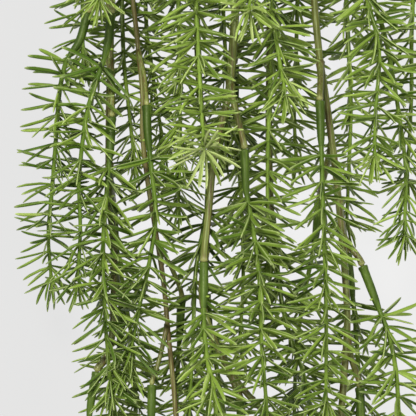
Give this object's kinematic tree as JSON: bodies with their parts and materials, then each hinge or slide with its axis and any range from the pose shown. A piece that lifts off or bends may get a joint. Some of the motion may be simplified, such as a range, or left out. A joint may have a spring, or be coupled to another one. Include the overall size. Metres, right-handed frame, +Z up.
{
  "type": "trailing foxtail fern bunch",
  "caption": "Artificial foxtail fern: a bunch of trailing plastic stems from one thick main stem, each twig ending in a moulded spray of narrow needles, laid down flat.",
  "frame": {"origin": "middle of the bunch's box in plan, on the surface that it lies on", "axes": "+Y along the bunch from the free needle tips to the cut end of the main stem, +X across it to the right, +Z up"},
  "size_m": [0.2179, 0.5744, 0.1241],
  "materials": {
    "main_stem_plastic": "matte brown moulded plastic skin",
    "stem_plastic": "satin olive plastic skin over wire",
    "spray_plastic": "satin green moulded polyethylene"
  },
  "bodies": {
    "root": {"main_stem": "main_stem_plastic", "stem_01": "stem_plastic", "stem_02": "stem_plastic", "stem_03": "stem_plastic", "stem_04": "stem_plastic", "stem_05": "stem_plastic", "stem_06": "stem_plastic", "stem_07": "stem_plastic", "stem_08": "stem_plastic", "stem_09": "stem_plastic", "stem_10": "stem_plastic", "spray_e": "spray_plastic", "spray_l": "spray_plastic", "spray_y2": "spray_plastic", "spray_n": "spray_plastic", "spray_y1": "spray_plastic", "spray_j": "spray_plastic", "spray_i": "spray_plastic", "spray_k": "spray_plastic", "spray_a": "spray_plastic", "spray_b": "spray_plastic", "spray_c": "spray_plastic", "spray_d": "spray_plastic", "spray_f": "spray_plastic", "spray_p": "spray_plastic", "spray_g": "spray_plastic", "spray_h": "spray_plastic", "spray_w": "spray_plastic", "spray_x": "spray_plastic", "spray_s2e": "spray_plastic", "spray_aa": "spray_plastic", "spray_r": "spray_plastic", "spray_t": "spray_plastic", "spray_u": "spray_plastic", "spray_m": "spray_plastic", "spray_v": "spray_plastic", "spray_z": "spray_plastic", "spray_b1": "spray_plastic", "spray_b2": "spray_plastic", "spray_b3": "spray_plastic", "spray_b4": "spray_plastic", "spray_b5": "spray_plastic", "spray_b6": "spray_plastic", "spray_b7": "spray_plastic", "spray_b8": "spray_plastic", "spray_b9": "spray_plastic", "spray_b10": "spray_plastic", "spray_b11": "spray_plastic", "spray_b12": "spray_plastic", "spray_b13": "spray_plastic"}
  },
  "joints": []
}
